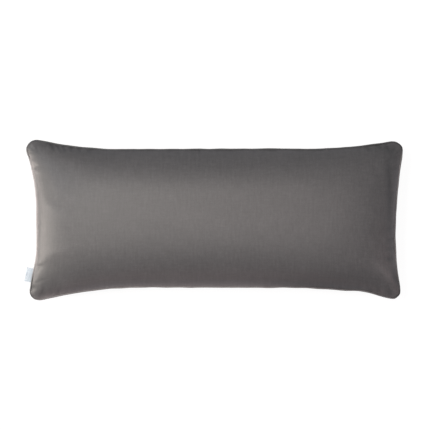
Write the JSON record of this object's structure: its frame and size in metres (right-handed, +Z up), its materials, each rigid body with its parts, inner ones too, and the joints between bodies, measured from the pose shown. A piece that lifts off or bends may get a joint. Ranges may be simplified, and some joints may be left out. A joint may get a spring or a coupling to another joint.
{
  "type": "body pillow",
  "caption": "Long rectangular body pillow in dark grey velvet, softly crowned with drawn-in sides, piped round its seam, with a small folded label sewn into one end.",
  "frame": {"origin": "middle of the flat patch of the underside that the pillow rests on", "axes": "+Z up, out of the front panel; +X along the pillow's length, away from the end with the label; +Y across it"},
  "size_m": [1.2003, 0.5105, 0.1876],
  "materials": {
    "velvet": "short-pile velvet, dark warm grey, with a fine upright grain",
    "ribbon": "satin ribbon, pale blue-white, bare"
  },
  "bodies": {
    "root": {"filled_cover": "velvet", "piping": "velvet", "side_label": "ribbon"}
  },
  "joints": []
}
